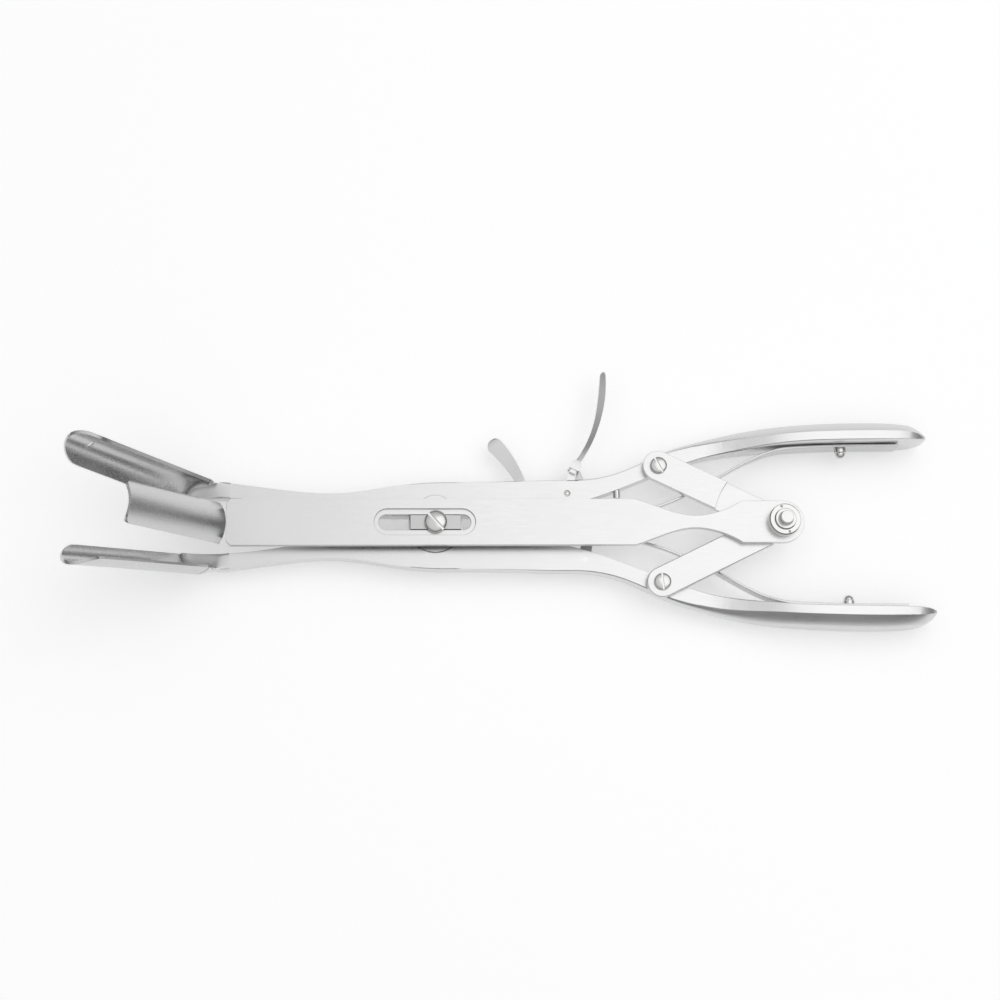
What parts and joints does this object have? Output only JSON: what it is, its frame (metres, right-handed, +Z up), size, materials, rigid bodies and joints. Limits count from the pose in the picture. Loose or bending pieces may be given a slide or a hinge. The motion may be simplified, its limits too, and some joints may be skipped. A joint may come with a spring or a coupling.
{
  "type": "three-bladed surgical retractor",
  "caption": "Steel self-retaining surgical retractor: spring handles, knee links and a sliding centre bar spread trough blades; a finger lever locks the spread.",
  "frame": {"origin": "main pivot axis, in the plane that the part rests on", "axes": "+X from the blades to the handles, +Y to the lever that carries the lock, +Z up"},
  "size_m": [0.2571, 0.0798, 0.045],
  "materials": {
    "satin_steel": "satin",
    "blade_steel": "satin",
    "spring_steel": "satin",
    "fastener_steel": "satin",
    "guide_steel": "satin"
  },
  "bodies": {
    "frame": {"centre_bar": "satin_steel", "centre_blade": "blade_steel", "rear_bolt": "fastener_steel", "rear_nut": "fastener_steel"},
    "carriage": {"slide_block": "guide_steel", "main_screw": "fastener_steel", "main_nut": "fastener_steel"},
    "upper_lever": {"upper_lever": "satin_steel", "upper_blade": "blade_steel", "upper_knee_screw": "fastener_steel", "upper_leaf_spring": "spring_steel", "upper_spring_stud": "fastener_steel", "thumb_rest": "satin_steel", "lock_screw": "fastener_steel", "lock_pin": "fastener_steel"},
    "lock": {"lock_lever": "satin_steel"},
    "lower_lever": {"lower_lever": "satin_steel", "lower_blade": "blade_steel", "lower_knee_screw": "fastener_steel", "lower_leaf_spring": "spring_steel", "lower_spring_stud": "fastener_steel", "ratchet_rack": "guide_steel", "rack_screw": "fastener_steel"},
    "upper_link": {"upper_link": "satin_steel"},
    "lower_link": {"lower_link": "satin_steel"}
  },
  "joints": [
    {"name": "upper_lever_hinge", "type": "hinge", "parent": "carriage", "child": "upper_lever", "pos_m": [0, 0, 0.00685], "axis": [0, 0, -1], "range_deg": [-1.5, 6.5]},
    {"name": "lower_lever_hinge", "type": "hinge", "parent": "carriage", "child": "lower_lever", "pos_m": [0, 0, 0.00685], "axis": [0, 0, 1], "range_deg": [-1.6, 6.6]},
    {"name": "carriage_slide", "type": "slide", "parent": "frame", "child": "carriage", "axis": [-1, 0, 0], "range_m": [-0.0012, 0.0048]},
    {"name": "upper_link_hinge", "type": "hinge", "parent": "frame", "child": "upper_link", "pos_m": [0.10439, 0, 0.01045], "axis": [0, 0, 1], "range_deg": [-2.8, 11.8]},
    {"name": "lower_link_hinge", "type": "hinge", "parent": "frame", "child": "lower_link", "pos_m": [0.10439, 0, 0.01045], "axis": [0, 0, -1], "range_deg": [-2.8, 11.8]},
    {"name": "lock_hinge", "type": "hinge", "parent": "upper_lever", "child": "lock", "pos_m": [0.0399, 0.0099, 0.0075], "axis": [0, 0, 1], "range_deg": [0, 9]}
  ],
  "couplings": [
    {"joint": "lower_lever_hinge", "follows": "upper_lever_hinge", "ratio": 1},
    {"joint": "carriage_slide", "follows": "upper_lever_hinge", "m_per_rad": 0.041253},
    {"joint": "upper_link_hinge", "follows": "upper_lever_hinge", "ratio": 1.79},
    {"joint": "lower_link_hinge", "follows": "upper_lever_hinge", "ratio": 1.79}
  ]
}
